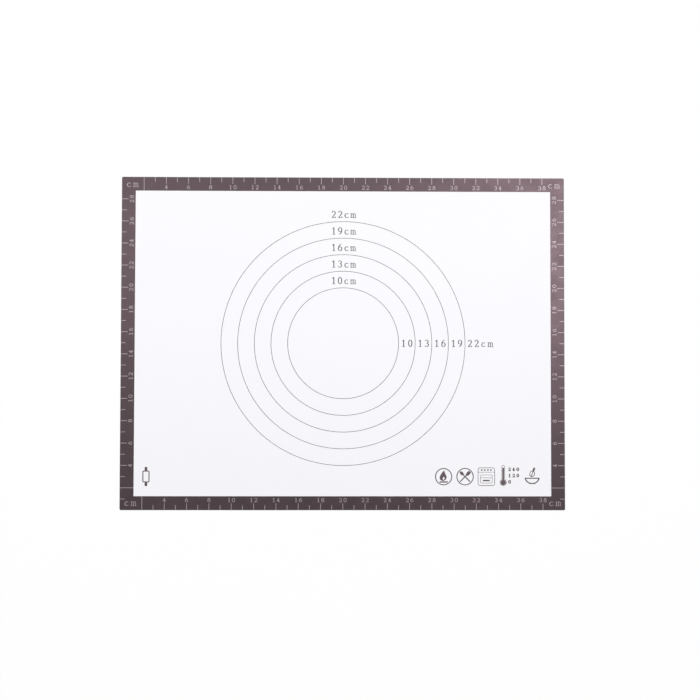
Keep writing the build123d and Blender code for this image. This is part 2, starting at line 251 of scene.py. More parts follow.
# The clouds mix the two colours and the two roughnesses, and the gaps of the weave have a colour
# of their own. The height is the weave's with a share of the grain's
def makeFinish(name, values, shared):
    material = bpy.data.materials.new(name)
    material.use_nodes = True
    tree = material.node_tree
    tree.nodes.clear()
    place = addNode(tree, "ShaderNodeTexCoord").outputs["Object"]
    weave = addNode(tree, "ShaderNodeGroup", {
        "Vector": place, "Pitch": shared["pitch"], "Crimp": shared["crimp"]}, node_tree=weaveEffect)
    cloud = addNode(tree, "ShaderNodeGroup", {
        "Vector": place, "Cloud Size": values["cloudSize"], "Grain Size": shared["grainSize"]},
        node_tree=cloudEffect)
    clouded = colourMix(tree, cloud.outputs["Cloud"], values["deep"], values["pale"])
    gap = maths(tree, "MULTIPLY", weave.outputs["Gap"], values["gapShare"])
    colour = colourMix(tree, gap, clouded, values["gap"])
    rough = addNode(tree, "ShaderNodeMapRange", {
        "Value": cloud.outputs["Cloud"],
        "From Min": shared["cloudLow"], "From Max": shared["cloudHigh"],
        "To Min": values["roughLow"], "To Max": values["roughHigh"]})
    height = maths(tree, "MULTIPLY_ADD", cloud.outputs["Grain"], shared["grainShare"],
                   weave.outputs["Height"])
    bump = addNode(tree, "ShaderNodeBump", {
        "Strength": 1.0, "Distance": values["relief"], "Height": height})
    shader = addNode(tree, "ShaderNodeBsdfPrincipled", {
        "Base Color": colour, "Roughness": rough.outputs[0], "Normal": bump.outputs[0],
        "IOR": values["refraction"], "Specular Tint": (*values["tint"], 1)})
    output = addNode(tree, "ShaderNodeOutputMaterial")
    tree.links.new(shader.outputs[0], output.inputs["Surface"])
    return material


materials = {name: makeFinish(name, values, surfaceValues) for name, values in finishes.items()}
print("Finishes made:", ", ".join(materials))


# Pieces. A drawing is flat: its points, its faces grouped by their number of corners, and the
# pairs of points along its outline, with the filled side at their left
sharpAngle = 35              # degrees between two faces, from which their edge is drawn sharp


# Every piece rides on the part's one body and stands for its node
def declarePiece(piece, node):
    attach(piece, "root")
    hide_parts(node)


def meshPiece(name, points, faces, finish):
    mesh = bpy.data.meshes.new(name)
    mesh.from_pydata(points.tolist(), [], [face for group in faces for face in group.tolist()])
    mesh.shade_smooth()
    mesh.set_sharp_from_angle(angle=math.radians(sharpAngle))
    mesh.materials.append(materials[finish])
    piece = bpy.data.objects.new(name, mesh)
    bpy.context.scene.collection.objects.link(piece)
    return piece


# A drawing given a thickness: the top follows the lie of the mat at one level, the underside
# at another, and a wall runs along the outline
def layPiece(name, drawing, low, high, finish):
    flat, faces, outline = drawing
    lie = lieAt(flat[:, 0], flat[:, 1])
    count = len(flat)
    points = np.concatenate([np.column_stack([flat, lie + high]), np.column_stack([flat, lie + low])])
    start, stop = outline.T
    walls = np.column_stack([start + count, stop + count, stop, start])
    under = [group[:, ::-1] + count for group in faces]
    return meshPiece(name, points, faces + under + [walls], finish)


# A drawing turned about its own middle and then moved
def movedDrawing(drawing, x, y, turn=0.0):
    flat, faces, outline = drawing
    cosine, sine = math.cos(turn), math.sin(turn)
    turned = flat @ np.array([[cosine, sine], [-sine, cosine]])
    return turned + np.array([x, y]), faces, outline


# A drawing turned over, with its faces and outline run backwards so that they still face up
def mirroredDrawing(drawing, axis):
    flat, faces, outline = drawing
    scale = np.array([-1, 1]) if axis == "x" else np.array([1, -1])
    return flat * scale, [group[:, ::-1] for group in faces], outline[:, ::-1]


# Several drawings as one, each with its point numbers moved past those before it
def joinedDrawing(drawings):
    starts = np.cumsum([0] + [len(flat) for flat, faces, outline in drawings])
    byCorners = {}
    for start, (flat, faces, outline) in zip(starts, drawings):
        for group in faces:
            byCorners.setdefault(group.shape[1], []).append(group + start)
    flat = np.concatenate([drawing[0] for drawing in drawings])
    outline = np.concatenate([drawing[2] + start for start, drawing in zip(starts, drawings)])
    return flat, [np.concatenate(groups) for groups in byCorners.values()], outline


# Strip between two rows of points that run the same way, filled side at the left of the first
def stripDrawing(rows, closed):
    count = rows.shape[1]
    ids = np.arange(rows.shape[0] * count).reshape(rows.shape[:2])
    along = np.concatenate([ids, ids[:, :1]], axis=1) if closed else ids
    quads = np.stack([along[:-1, :-1], along[:-1, 1:], along[1:, 1:], along[1:, :-1]], axis=-1)
    edges = [np.column_stack([along[0, :-1], along[0, 1:]]),
             np.column_stack([along[-1, 1:], along[-1, :-1]])]
    if not closed:
        edges.append(np.column_stack([along[:-1, -1], along[1:, -1]]))
        edges.append(np.column_stack([along[1:, 0], along[:-1, 0]]))
    return rows.reshape(-1, 2), [quads.reshape(-1, 4)], np.concatenate(edges)


# Layers of the laminate
layerValues = {
    "step": 0.004,          # length of a cell of the sheet
    "cornerSteps": 5,
    "corner": 0.0008,       # radius of the coats' corners
}


# Rounded rectangle in straight rows: evenly spaced between the corners and then along each
# corner's arc, where a row is as long as the outline is wide there
def roundedSheet(half, corner, step, cornerSteps):
    straight = half[1] - corner
    evenly = np.linspace(-straight, straight, round(2 * straight / step))
    angle = np.linspace(0, math.pi / 2, cornerSteps + 1)[1:]
    rise = straight + corner * np.sin(angle)
    rowHalf = half[0] - corner + corner * np.cos(angle)
    up = np.concatenate([-rise[::-1], evenly, rise])
    reach = np.concatenate([rowHalf[::-1], np.full(len(evenly), half[0]), rowHalf])
    share = np.linspace(-1, 1, round(2 * half[0] / step))
    rows = np.stack([share[None, :] * reach[:, None], np.repeat(up[:, None], len(share), 1)], axis=-1)
    return stripDrawing(rows, closed=False)


def makeLayers(values):
    sheet = roundedSheet(coatHalf, values["corner"], values["step"], values["cornerSteps"])
    made = []
    for node, name, finish, slot in (
            ("silicone_base_coat", "baseCoat", "underside_silicone", "white_silicone"),
            ("glass_fibre_cloth", "glassCloth", "glass_cloth", "glass_cloth"),
            ("silicone_top_coat", "topCoat", "white_silicone", "white_silicone")):
        low, high = nodeBox(node)
        piece = layPiece(name, sheet, low[2], high[2], finish)
        declarePiece(piece, node)
        made.append(piece)
    return made


baseCoat, glassCloth, topCoat = makeLayers(layerValues)
print("Laminate laid")


# Bead of silicone round the cut edge
sealValues = {
    "corner": 0.0012,        # radius of the mat's corners
    "rounding": 0.00024,     # radius of the bead's own outer edges
    "roundingSteps": 5,
    "arcSteps": 7,
    "sideSteps": (100, 75),
}


# Closed loop of a rounded rectangle: quarter circles, with the sides between them in even steps
def roundedLoop(half, corner, values):
    centre = half - corner
    angle = np.linspace(0, math.pi / 2, values["arcSteps"] + 1)
    quarter = corner * np.column_stack([np.cos(angle), np.sin(angle)])
    arcs = []
    for sign in ((1, 1), (-1, 1), (-1, -1), (1, -1)):
        arc = centre * sign + quarter * sign
        arcs.append(arc if sign[0] * sign[1] > 0 else arc[::-1])
    loop = []
    for place, arc in enumerate(arcs):
        steps = values["sideSteps"][place % 2]
        share = np.linspace(0, 1, steps + 1)[1:-1, None]
        loop += [arc, arc[-1] + share * (arcs[(place + 1) % len(arcs)][0] - arc[-1])]
    return np.concatenate(loop)


# Section of the bead, as distance in from the edge and height: two rounded outer edges
def makeSeal(values):
    radius, thickness = values["rounding"], coatTop
    angle = np.linspace(0, math.pi / 2, values["roundingSteps"] + 1)
    lower = np.column_stack([radius * (1 - np.sin(angle)), radius * (1 - np.cos(angle))])
    upper = np.column_stack([radius * (1 - np.cos(angle)), thickness - radius * (1 - np.sin(angle))])
    section = np.concatenate([[[sealWidth, 0.0]], lower, upper, [[sealWidth, thickness]]])
    loops = np.stack([roundedLoop(matHalf - inset, values["corner"] - inset, values)
                      for inset in section[:, 0]])
    lie = lieAt(loops[..., 0], loops[..., 1])
    points = np.concatenate([loops, (lie + section[:, 1:])[..., None]], axis=-1)
    rows, count = points.shape[:2]
    ids = np.arange(rows * count).reshape(rows, count)
    around = np.roll(ids, -1, axis=1)
    across = np.roll(ids, -1, axis=0)
    both = np.roll(around, -1, axis=0)
    quads = np.stack([ids, around, both, across], axis=-1).reshape(-1, 4)
    piece = meshPiece("edgeSeal", points.reshape(-1, 3), [quads], "brown_silicone")
    declarePiece(piece, "edge_seal")
    return piece


edgeSeal = makeSeal(sealValues)

borderValues = {
    "innerCorner": 0.0003,   # the printed field's corners are barely rounded
    "crossSteps": 4,
}


# Printed band: loops from the coat's outline in to the field, each a rounded rectangle
def makeBorder(values):
    loops = []
    for share in np.linspace(0, 1, values["crossSteps"] + 1):
        half = coatHalf + share * (fieldHalf - coatHalf)
        corner = layerValues["corner"] + share * (values["innerCorner"] - layerValues["corner"])
        loops.append(roundedLoop(half, corner, sealValues))
    piece = layPiece("borderPrint", stripDrawing(np.stack(loops), closed=True), coatTop, borderTop,
                     "brown_silicone")
    declarePiece(piece, "border_print")
    return piece


borderPrint = makeBorder(borderValues)
print("Edge seal and printed border laid")


# Drawing with a pen. Where a value worked out on a grid is below zero there is ink: whole cells
# inside, and cells at the outline cut along the line between its crossings. A cell's points are
# its corners 0 to 3 and the crossings 4 to 7 on its sides, both from the lower left and in turn.
# Its case is the sum of 1, 2, 4 and 8 for the corners that have ink
cellFaces = {
    1: [(0, 4, 7)], 2: [(1, 5, 4)], 3: [(0, 1, 5, 7)], 4: [(2, 6, 5)],
    5: [(0, 4, 7), (2, 6, 5)], 6: [(1, 2, 6, 4)], 7: [(0, 1, 2, 6, 7)], 8: [(3, 7, 6)],
    9: [(0, 4, 6, 3)], 10: [(1, 5, 4), (3, 7, 6)], 11: [(0, 1, 5, 6, 3)], 12: [(2, 3, 7, 5)],
    13: [(0, 4, 5, 2, 3)], 14: [(1, 2, 3, 7, 4)], 15: [(0, 1, 2, 3)],
}
lastCorner = 3
leastCut = 0.06              # no crossing lies nearer to a corner than this share of a side


def inkDrawing(inkAt, low, high, step):
    margin = 2 * step
    x = np.arange(low[0] - margin, high[0] + margin + step, step)
    y = np.arange(low[1] - margin, high[1] + margin + step, step)
    x, y = np.meshgrid(x, y)
    value = inkAt(x, y)
    inside = value < 0
    acrossCut = inside[:, :-1] != inside[:, 1:]
    upCut = inside[:-1] != inside[1:]
    share = np.clip(value[:, :-1][acrossCut] / (value[:, :-1] - value[:, 1:])[acrossCut],
                    leastCut, 1 - leastCut)
    acrossPoints = np.column_stack([x[:, :-1][acrossCut] + share * step, y[:, :-1][acrossCut]])
    share = np.clip(value[:-1][upCut] / (value[:-1] - value[1:])[upCut], leastCut, 1 - leastCut)
    upPoints = np.column_stack([x[:-1][upCut], y[:-1][upCut] + share * step])
    flat = np.concatenate([np.column_stack([x[inside], y[inside]]), acrossPoints, upPoints])
    corner = np.cumsum(inside).reshape(inside.shape) - 1
    across = np.cumsum(acrossCut).reshape(acrossCut.shape) - 1 + inside.sum()
    up = np.cumsum(upCut).reshape(upCut.shape) - 1 + inside.sum() + acrossCut.sum()
    ids = np.stack([corner[:-1, :-1], corner[:-1, 1:], corner[1:, 1:], corner[1:, :-1],
                    across[:-1], up[:, 1:], across[1:], up[:, :-1]])
    case = inside[:-1, :-1] + 2 * inside[:-1, 1:] + 4 * inside[1:, 1:] + 8 * inside[1:, :-1]
    byCorners, outline = {}, []
    for number, polygons in cellFaces.items():
        here = ids[:, case == number]
        for polygon in polygons:
            byCorners.setdefault(len(polygon), []).append(here[list(polygon)].T)
            for first, second in zip(polygon, polygon[1:] + polygon[:1]):
                if min(first, second) > lastCorner:
                    outline.append(here[[first, second]].T)
    return flat, [np.concatenate(groups) for groups in byCorners.values()], np.concatenate(outline)


# Distance outside a pen line in widths of the pen's oval tip: to the nearest of its runs,
# measured where the tip is round, less the half that is the tip's own
def penLine(x, y, path, tip):
    points = np.array(path) / tip
    start, run = points[:-1], np.diff(points, axis=0)
    spot = np.stack([x / tip[0], y / tip[1]], axis=-1)[..., None, :]
    share = ((spot - start) * run).sum(-1) / (run ** 2).sum(-1)
    gap = spot - start - np.clip(share, 0, 1)[..., None] * run
    return np.sqrt((gap ** 2).sum(-1)).min(-1) - 1 / 2


arcStep = 12                 # degrees between two points of a round stroke
leastArcPoints = 3


# Round stretch of a pen stroke, in shares of the box of its digit or letter
def arc(centre, reach, start, stop):
    count = max(leastArcPoints, round(abs(stop - start) / arcStep))
    angle = np.radians(np.linspace(start, stop, count))
    return list(zip(centre[0] + reach[0] * np.cos(angle), centre[1] + reach[1] * np.sin(angle)))


# Pen strokes of the digits and letters, in shares of the box: left to right, bottom to top
sixShares = [arc((0.5, 0.31), (0.5, 0.31), 0, 360), arc((0.95, 0.31), (0.95, 0.69), 100, 180)]
strokeShares = {
    "0": [arc((0.5, 0.5), (0.5, 0.5), 0, 360)],
    "1": [[(0.2, 0.82), (0.55, 1), (0.55, 0)], [(0.2, 0), (0.9, 0)]],
    "2": [arc((0.48, 0.72), (0.46, 0.28), 165, -30) + [(0.03, 0), (1, 0), (1, 0.14)]],
    "3": [arc((0.45, 0.76), (0.43, 0.24), 150, -90), arc((0.45, 0.27), (0.5, 0.27), 80, -155)],
    "4": [[(0.68, 0), (0.68, 1), (0, 0.28), (1, 0.28)], [(0.42, 0), (0.94, 0)]],
    "5": [[(0.92, 1), (0.14, 1), (0.12, 0.5)] + arc((0.45, 0.32), (0.5, 0.32), 125, -155)],
    "6": sixShares,
    "7": [[(0, 0.84), (0, 1), (1, 1), (0.4, 0)]],
    "8": [arc((0.5, 0.76), (0.4, 0.24), 0, 360), arc((0.5, 0.27), (0.5, 0.27), 0, 360)],
    "9": [[(1 - across, 1 - up) for across, up in stroke] for stroke in sixShares],
    "c": [arc((0.54, 0.5), (0.52, 0.5), 42, 322)],
    "m": [[(0.02, 1), (0.14, 1), (0.14, 0)],
          [(0.14, 0.7)] + arc((0.34, 0.72), (0.2, 0.28), 150, 0) + [(0.54, 0)],
          [(0.54, 0.7)] + arc((0.74, 0.72), (0.2, 0.28), 150, 0) + [(0.94, 0)],
          [(0, 0), (0.26, 0)], [(0.42, 0), (0.66, 0)], [(0.82, 0), (1.06, 0)]],
}
widthShares = {"m": 1.35}    # an m is wider than the other signs and drawn with a finer tip
tipShares = {"m": 0.8}


# One digit or letter, centred across and standing on its baseline
def signDrawing(sign, values):
    height = values["height"] if sign.isdigit() else values.get("letterHeight", values["height"])
    width = values["width"] * widthShares.get(sign, 1)
    tip = np.array([values["tipWidth"] * tipShares.get(sign, 1), values["tipHeight"]])
    size = np.array([width, height]) - tip
    foot = np.array([-size[0] / 2, tip[1] / 2])
    strokes = [foot + np.array(stroke) * size for stroke in strokeShares[sign]]

    def inkAt(x, y):
        return np.min([penLine(x, y, stroke, tip) for stroke in strokes], axis=0)

    return inkDrawing(inkAt, (-width / 2, 0), (width / 2, height), values["step"])


# Each sign is drawn once for a type, then placed wherever a word needs it
def wordDrawings(text, pitch, values):
    signs = values.setdefault("signs", {})
    for sign in set(text) - set(signs):
        signs[sign] = signDrawing(sign, values)
    middle = (len(text) - 1) / 2
    return [movedDrawing(signs[sign], (place - middle) * pitch, 0.0) for place, sign in enumerate(text)]


# Drawings printed as one piece, on the top coat or on the level given
def printPiece(name, drawings, node, slot, level=coatTop):
    piece = layPiece(name, joinedDrawing(drawings), level, level + inkThickness, slot)
    declarePiece(piece, node)
    return piece


# Rulers in the border
rulerValues = {
    "line": 0.00052,
    "shortMark": 0.0045,
    "longMark": 0.0062,
    "every": 2,                # every second mark is long and has a number
    "fullMark": 2,             # number of the mark that crosses the whole border
    "firstAlong": 2,           # number of the first mark on the long sides
    "firstAcross": 1,          # the same on the short sides
    "endGap": 2,               # centimetres from the last mark to the far edge
    "markSteps": 3,
}
rulerType = {
    "width": 0.0027, "height": 0.0037, "pitch": 0.004,
    "tipWidth": 0.0005, "tipHeight": 0.00036, "step": 0.00015, "firstNumber": 4,
}


# Centimetre marks that run in from the upper edge of a ruler, which is as long as the mat there
def markDrawings(numbers, start, edge, values):
    drawings = []
    for number in numbers:
        length = values["shortMark"] if number % values["every"] else values["longMark"]
        if number == values["fullMark"]:
            length = borderWidth
        centre = start + number * centimetre
        down = np.linspace(edge - sealWidth, edge - length, values["markSteps"] + 1)
        sides = [np.column_stack([np.full(len(down), centre + side * values["line"] / 2), down])
                 for side in (-1, 1)]
        drawings.append(stripDrawing(np.stack(sides), closed=False))
    return joinedDrawing(drawings)


# Marks of two rulers, the same mirrored for the other two, and the numbers of all four
def makeRulers(values, typeValues):
    pastLength, pastWidth = [round(2 * half / centimetre) - values["endGap"] + 1 for half in matHalf]
    upper = markDrawings(range(values["firstAlong"], pastLength), -matHalf[0], matHalf[1], values)
    # A side ruler counts from the lower edge, so its marks start at the other end when turned
    right = markDrawings(range(values["firstAcross"], pastWidth), -matHalf[1], matHalf[0], values)
    right = movedDrawing(mirroredDrawing(right, "x"), 0, 0, -math.pi / 2)
    marks = {"top": upper, "bottom": mirroredDrawing(upper, "y"),
             "right": right, "left": mirroredDrawing(right, "x")}
    made = []
    for side, drawing in marks.items():
        made.append(printPiece("marks" + side.title(), [drawing], "ruler_ticks_" + side, "light_ink",
                               borderTop))
        low, high = nodeBox("ruler_numbers_" + side)
        upright = side in ("top", "bottom")
        past = pastLength if upright else pastWidth
        words = []
        for number in range(typeValues["firstNumber"], past, values["every"]):
            for sign in wordDrawings(str(number), typeValues["pitch"], typeValues):
                if upright:
                    words.append(movedDrawing(sign, number * centimetre - matHalf[0], low[1]))
                else:
                    words.append(movedDrawing(movedDrawing(sign, 0, 0, math.pi / 2), high[0],
                                              number * centimetre - matHalf[1]))
        made.append(printPiece("numbers" + side.title(), words, "ruler_numbers_" + side, "light_ink",
                               borderTop))
    return made


rulers = makeRulers(rulerValues, rulerType)

# Unit marks in the four corners of the border
unitType = {
    "width": 0.0037, "height": 0.0039, "pitch": 0.0061,
    "tipWidth": 0.00066, "tipHeight": 0.0004, "step": 0.00016,
    "inset": 0.0094,           # from the ends of the mat to the middle of a word
}


def makeUnitMarks(values):
    low, high = nodeBox("unit_marks")
    word = wordDrawings("cm", values["pitch"], values)
    words = [movedDrawing(sign, side * (matHalf[0] - values["inset"]), row)
             for row in (low[1], high[1] - values["height"]) for side in (-1, 1) for sign in word]
    return printPiece("unitMarks", words, "unit_marks", "light_ink", borderTop)


unitMarks = makeUnitMarks(unitType)
print("Rulers printed")


# Guide circles with their labels
ringValues = {
    "numbers": (10, 13, 16, 19, 22),
    "line": 0.00045,
    "steps": 288,
}
labelType = {
    "width": 0.0039, "height": 0.0065, "letterHeight": 0.0043, "pitch": 0.0058,
    "tipWidth": 0.0009, "tipHeight": 0.00042, "step": 0.00018,
    "rise": 0.0033, "sidePitch": 0.0061,
}


# Two circles, half a line's width outside and inside the radius
def ringDrawing(radius, line, steps):
    angle = np.linspace(0, math.tau, steps + 1)[:-1]
    circle = np.column_stack([np.cos(angle), np.sin(angle)])
    return stripDrawing(np.stack([circle * (radius + line / 2), circle * (radius - line / 2)]), closed=True)


# Each circle with a label over it and one at its right. A label of two figures at the side
# stands midway between its circle and the next
def makeRings(values, typeValues):
    made = []
    radii = [number * centimetre / 2 for number in values["numbers"]]
    sideStart = (radii[1] - radii[0] - typeValues["sidePitch"]) / 2
    for number, radius in zip(values["numbers"], radii):
        size = str(number) + "cm"
        ring = ringDrawing(radius, values["line"], values["steps"])
        made.append(printPiece("ring" + size, [ring], "guide_ring_" + size, "brown_ink"))
        top = [movedDrawing(sign, 0, radius + typeValues["rise"])
               for sign in wordDrawings(size, typeValues["pitch"], typeValues)]
        made.append(printPiece("labelTop" + size, top, "ring_label_top_" + size, "brown_ink"))
        text = size if number == values["numbers"][-1] else str(number)
        middle = radius + sideStart + (len(text) - 1) / 2 * typeValues["sidePitch"]
        side = [movedDrawing(sign, middle, -typeValues["height"] / 2)
                for sign in wordDrawings(text, typeValues["sidePitch"], typeValues)]
        made.append(printPiece("labelSide" + size, side, "ring_label_side_" + size, "brown_ink"))
    return made


rings = makeRings(ringValues, labelType)
print("Guide circles and labels printed")


# Shapes that the small pictures are made of, each the distance outside it in metres. For a box
# that is the distance to a box with its corners' centres, less their radius
def roundedBox(x, y, width, height, corner=0.0):
    across = np.abs(x) - width / 2 + corner
    up = np.abs(y) - height / 2 + corner
    outside = np.hypot(np.maximum(across, 0), np.maximum(up, 0))
    return outside + np.minimum(np.maximum(across, up), 0) - corner


# For an oval it is how many ovals out a point lies, less one, times the smaller half width
def ovalShape(x, y, width, height):
    return (np.hypot(x / width, y / height) * 2 - 1) * min(width, height) / 2


# Line of the given width along the inside of a shape
def lineInside(distance, line):
    return np.abs(distance + line / 2) - line / 2


# Places measured in a plane that is turned by an angle
def turnedPlane(x, y, turn):
    cosine, sine = math.cos(turn), math.sin(turn)
    return x * cosine + y * sine, y * cosine - x * sine


# Closed outline through points: distance to the nearest side, counted inside by the number of
# sides that a line to the right crosses
def polygonShape(x, y, points):
    start = np.array(points)
    stop = np.roll(start, -1, axis=0)
    run = stop - start
    spot = np.stack([x, y], axis=-1)[..., None, :]
    share = np.clip(((spot - start) * run).sum(-1) / (run ** 2).sum(-1), 0, 1)
    gap = spot - start - share[..., None] * run
    distance = np.sqrt((gap ** 2).sum(-1)).min(-1)
    spans = (start[:, 1] > y[..., None]) != (stop[:, 1] > y[..., None])
    rise = np.where(run[:, 1] == 0, 1, run[:, 1])
    crossing = start[:, 0] + (y[..., None] - start[:, 1]) * run[:, 0] / rise
    inside = (spans & (x[..., None] < crossing)).sum(-1) % 2 == 1
    return np.where(inside, -distance, distance)


pictureValues = {
    "step": 0.00016,         # side of a cell of the grid that a picture is worked out on
    "curveSteps": 14,
}


# Cubic curve with its two ends and two handles in shares of a width and a height
def curvePoints(shares, width, height):
    share = np.linspace(0, 1, pictureValues["curveSteps"] + 1)[:, None]
    first, second, third, fourth = (np.array(point) * (width, height) for point in shares)
    return ((1 - share) ** 3 * first + 3 * (1 - share) ** 2 * share * second
            + 3 * (1 - share) * share ** 2 * third + share ** 3 * fourth)


# A picture worked out round its own middle, and printed at the middle of its node
def makePicture(name, node, inkAt):
    low, high = nodeBox(node)
    middle = (low + high) / 2
    half = (high - low)[:2] / 2
    drawing = inkDrawing(inkAt, -half, half, pictureValues["step"])
    return printPiece(name, [movedDrawing(drawing, middle[0], middle[1])], node, "brown_ink")


flameValues = {
    "ringRadius": 0.0077, "line": 0.00085, "width": 0.0076, "height": 0.0096, "rise": 0.001,
    "barWidth": 0.0076, "barLine": 0.0012, "barGap": 0.00095, "barCornerShare": 1 / 3,
    "leftShares": ((0, 0), (-0.72, 0.02), (-0.55, 0.5), (0.06, 1)),
    "rightShares": ((0.06, 1), (0.02, 0.72), (0.78, 0.3), (0, 0)),
    "heartLeftShares": ((0.02, 0.1), (-0.18, 0.12), (-0.14, 0.28), (0.04, 0.4)),
    "heartRightShares": ((0.04, 0.4), (0.06, 0.3), (0.22, 0.2), (0.02, 0.1)),
}


# A flame over a burner bar, in a ring
def makeFlame(values):
    size = values["width"], values["height"]
    foot = values["rise"] - values["height"] / 2

    def leaf(x, y, left, right):
        sides = [curvePoints(values[side], *size)[:-1] for side in (left, right)]
        return polygonShape(x, y - foot, np.concatenate(sides))

    def inkAt(x, y):
        flame = leaf(x, y, "leftShares", "rightShares")
        flame = np.maximum(flame, -leaf(x, y, "heartLeftShares", "heartRightShares"))
        bar = roundedBox(x, y - foot + values["barGap"], values["barWidth"], values["barLine"],
                         values["barLine"] * values["barCornerShare"])
        ring = lineInside(np.hypot(x, y) - values["ringRadius"], values["line"])
        return np.minimum(np.minimum(flame, bar), ring)

    return makePicture("flamePicture", "flame_symbol", inkAt)


toolValues = {
    "ringRadius": 0.0078, "line": 0.00085, "length": 0.0128, "handle": 0.001,
    "headWidth": 0.0028, "headLength": 0.0044, "bladeCorner": 0.0006, "handleCornerShare": 1 / 3,
    "tilt": 45,
}


# A spoon and a scraper laid across each other, in a ring
def makeCrossedTools(values):
    headRow = (values["length"] - values["headLength"]) / 2
    tilt = math.radians(values["tilt"])
    handleCorner = values["handle"] * values["handleCornerShare"]

    def inkAt(x, y):
        spoonX, spoonY = turnedPlane(x, y, tilt)
        bladeX, bladeY = turnedPlane(x, y, -tilt)
        spoon = ovalShape(spoonX, spoonY - headRow, values["headWidth"], values["headLength"])
        blade = roundedBox(bladeX, bladeY - headRow, values["headWidth"], values["headLength"],
                           values["bladeCorner"])
        handles = [roundedBox(across, up, values["handle"], values["length"], handleCorner)
                   for across, up in ((spoonX, spoonY), (bladeX, bladeY))]
        ring = lineInside(np.hypot(x, y) - values["ringRadius"], values["line"])
        return np.min([spoon, blade, ring] + handles, axis=0)

    return makePicture("crossedToolsPicture", "crossed_tools_symbol", inkAt)


ovenValues = {
    "width": 0.0154, "height": 0.0164, "corner": 0.0022, "line": 0.0005, "windowLine": 0.00035,
    "panelHeight": 0.0042, "knobRadius": 0.00075, "knobs": 4, "windowInset": 0.0023,
    "windowCorner": 0.001, "rackShare": 0.64, "trayWidth": 0.0064, "trayHeight": 0.0012,
    "trayCorner": 0.0003,
}


# An oven front: control panel with knobs, and a window with a rack and a tray
def makeOven(values):
    line, fine = values["line"], values["windowLine"]
    panelRow = values["height"] / 2 - values["panelHeight"]
    knobRow = panelRow + (values["panelHeight"] - line + fine / 2) / 2
    knobPitch = (values["width"] - 2 * values["corner"]) / values["knobs"]
    windowWidth = values["width"] - 2 * values["windowInset"]
    windowHeight = values["height"] - values["panelHeight"] - 2 * values["windowInset"]
    windowFoot = values["windowInset"] - values["height"] / 2
    rack = windowHeight * values["rackShare"]

    def inkAt(x, y):
        body = lineInside(roundedBox(x, y, values["width"], values["height"], values["corner"]), line)
        panel = roundedBox(x, y - panelRow, values["width"] - line, fine)
        window = lineInside(roundedBox(x, y - windowFoot - windowHeight / 2, windowWidth, windowHeight,
                                       values["windowCorner"]), fine)
        shelf = roundedBox(x, y - windowFoot - rack, windowWidth - fine, fine)
        tray = roundedBox(x, y - windowFoot - rack / 2, values["trayWidth"], values["trayHeight"],
                          values["trayCorner"])
        knobs = [np.hypot(x - (place - (values["knobs"] - 1) / 2) * knobPitch, y - knobRow)
                 - values["knobRadius"] for place in range(values["knobs"])]
        return np.min([body, panel, window, shelf, tray] + knobs, axis=0)

    return makePicture("ovenPicture", "oven_symbol", inkAt)


thermometerValues = {
    "height": 0.0186, "stemWidth": 0.003, "bulbRadius": 0.0031, "columnWidth": 0.0016,
    "columnDrop": 0.0014, "bulbGap": 0.0003, "glassLine": 0.0004,
}
scaleType = {
    "width": 0.0025, "height": 0.0033, "pitch": 0.0037,
    "tipWidth": 0.0009, "tipHeight": 0.00054, "step": 0.00015,
    "numbers": ("240", "120", "0"), "spacing": 0.0056, "gap": 0.0026,
}


# A bulb and a stem drawn round a filled bulb and column
def makeThermometer(values):
    bulbRow = values["bulbRadius"] - values["height"] / 2
    topRow = (values["height"] - values["stemWidth"]) / 2
    fine = values["glassLine"]

    def outline(x, y, bulb, stem, top):
        stemDistance = np.hypot(x, y - np.clip(y, bulbRow, top)) - stem / 2
        return np.minimum(np.hypot(x, y - bulbRow) - bulb, stemDistance)

    def inkAt(x, y):
        glass = outline(x, y, values["bulbRadius"], values["stemWidth"], topRow)
        filled = outline(x, y, values["bulbRadius"] - fine - values["bulbGap"], values["columnWidth"],
                         topRow - values["columnDrop"])
        return np.minimum(lineInside(glass, fine), filled)

    return makePicture("thermometerPicture", "thermometer_symbol", inkAt)


# A plain scale of numbers beside the thermometer
def makeScale(values):
    low, high = nodeBox("thermometer_symbol")
    middle = (low + high) / 2
    left = middle[0] + thermometerValues["bulbRadius"] + values["gap"]
    middleRow = (len(values["numbers"]) - 1) / 2
    drawings = []
    for row, number in enumerate(values["numbers"]):
        centre = left + (len(number) - 1) / 2 * values["pitch"]
        foot = middle[1] + (middleRow - row) * values["spacing"] - values["height"] / 2
        drawings += [movedDrawing(sign, centre, foot)
                     for sign in wordDrawings(number, values["pitch"], values)]
    return printPiece("scaleNumbers", drawings, "thermometer_numbers", "brown_ink")


bowlValues = {
    "width": 0.0134, "depth": 0.0056, "footWidth": 0.006, "height": 0.015, "line": 0.00095,
    "whiskGap": 0.0006, "whiskWidth": 0.0048, "whiskLength": 0.0058, "wireLine": 0.0006,
    "gripWidth": 0.0018, "cornerShare": 1 / 4, "tilt": -22,
}


